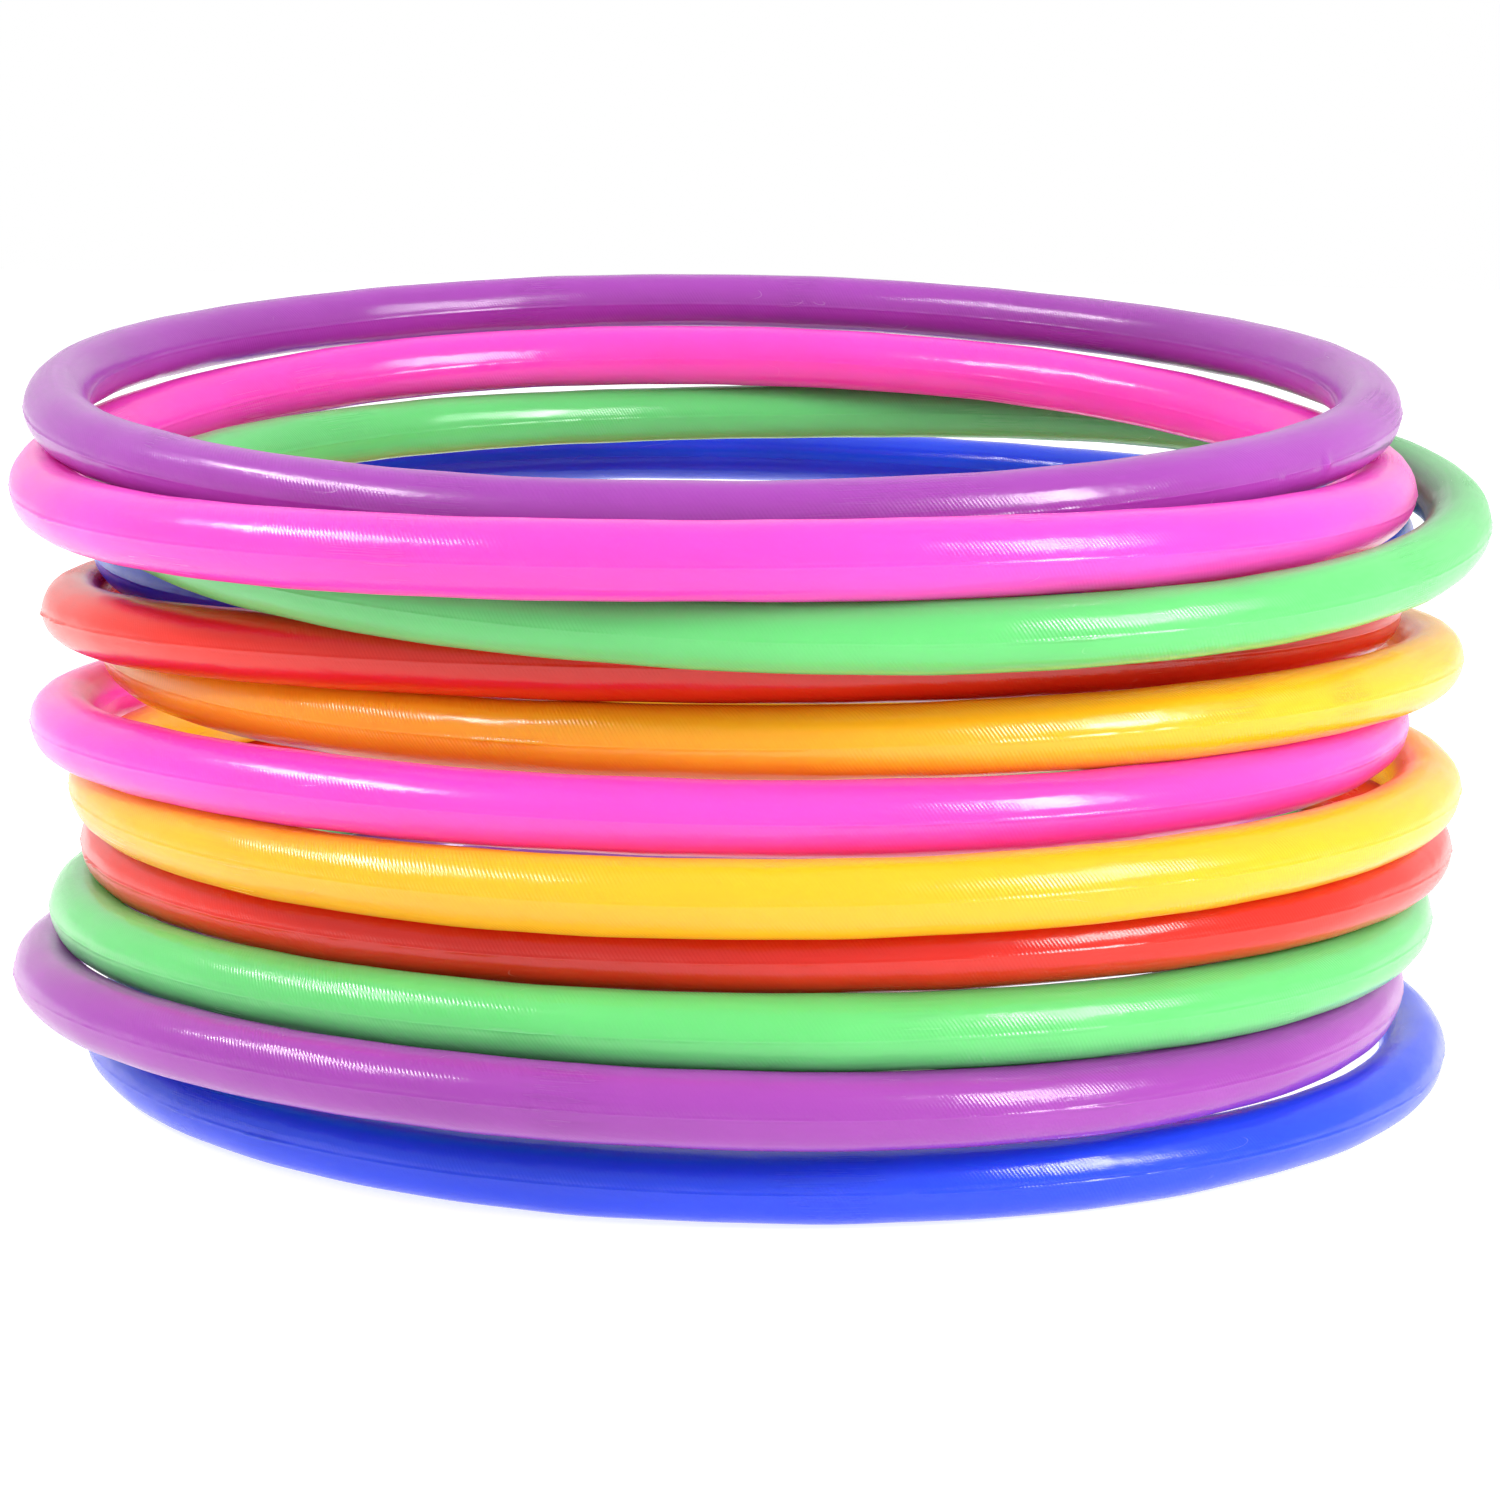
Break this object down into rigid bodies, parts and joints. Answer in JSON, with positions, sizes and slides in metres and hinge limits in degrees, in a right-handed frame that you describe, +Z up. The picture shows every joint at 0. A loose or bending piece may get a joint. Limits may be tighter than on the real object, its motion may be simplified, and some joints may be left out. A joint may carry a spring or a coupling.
{
  "type": "ring toss set",
  "caption": "Set of round plastic toss rings with a slim round section, in bright colours, lying one on another in an untidy stack.",
  "frame": {"origin": "on the table, under the middle of the stack's bounding box", "axes": "+Z up, +X to the right and -Y to the front, as the stack is usually seen"},
  "size_m": [0.169, 0.1868, 0.0891],
  "materials": {
    "purple_plastic": "glossy moulded polyethylene, slightly translucent",
    "pink_plastic": "glossy moulded polyethylene, slightly translucent",
    "green_plastic": "glossy moulded polyethylene, slightly translucent",
    "blue_plastic": "glossy moulded polyethylene, nearly opaque",
    "red_plastic": "glossy moulded polyethylene, slightly translucent",
    "orange_plastic": "glossy moulded polyethylene, shading from orange to yellow round the ring",
    "yellow_plastic": "glossy moulded polyethylene, slightly translucent"
  },
  "bodies": {
    "blue_lower": {"blue_ring_lower": "blue_plastic"},
    "purple_lower": {"purple_ring_lower": "purple_plastic"},
    "green_lower": {"green_ring_lower": "green_plastic"},
    "red_lower": {"red_ring_lower": "red_plastic"},
    "yellow_lower": {"yellow_ring_lower": "yellow_plastic"},
    "pink_lower": {"pink_ring_lower": "pink_plastic"},
    "orange": {"orange_ring": "orange_plastic"},
    "red_upper": {"red_ring_upper": "red_plastic"},
    "blue_upper": {"blue_ring_upper": "blue_plastic"},
    "green_upper": {"green_ring_upper": "green_plastic"},
    "pink_upper": {"pink_ring_upper": "pink_plastic"},
    "purple_upper": {"purple_ring_upper": "purple_plastic"}
  },
  "joints": [
    {"name": "purple_lower_lift", "type": "slide", "parent": "blue_lower", "child": "purple_lower", "axis": [0, 0, 1], "range_m": [0, 0.05]},
    {"name": "green_lower_lift", "type": "slide", "parent": "purple_lower", "child": "green_lower", "axis": [0, 0, 1], "range_m": [0, 0.05]},
    {"name": "red_lower_lift", "type": "slide", "parent": "green_lower", "child": "red_lower", "axis": [0, 0, 1], "range_m": [0, 0.05]},
    {"name": "yellow_lower_lift", "type": "slide", "parent": "red_lower", "child": "yellow_lower", "axis": [0, 0, 1], "range_m": [0, 0.05]},
    {"name": "pink_lower_lift", "type": "slide", "parent": "yellow_lower", "child": "pink_lower", "axis": [0, 0, 1], "range_m": [0, 0.05]},
    {"name": "orange_lift", "type": "slide", "parent": "pink_lower", "child": "orange", "axis": [0, 0, 1], "range_m": [0, 0.05]},
    {"name": "red_upper_lift", "type": "slide", "parent": "orange", "child": "red_upper", "axis": [0, 0, 1], "range_m": [0, 0.05]},
    {"name": "blue_upper_lift", "type": "slide", "parent": "red_upper", "child": "blue_upper", "axis": [0, 0, 1], "range_m": [0, 0.05]},
    {"name": "green_upper_lift", "type": "slide", "parent": "blue_upper", "child": "green_upper", "axis": [0, 0, 1], "range_m": [0, 0.05]},
    {"name": "pink_upper_lift", "type": "slide", "parent": "green_upper", "child": "pink_upper", "axis": [0, 0, 1], "range_m": [0, 0.05]},
    {"name": "purple_upper_lift", "type": "slide", "parent": "pink_upper", "child": "purple_upper", "axis": [0, 0, 1], "range_m": [0, 0.05]}
  ]
}
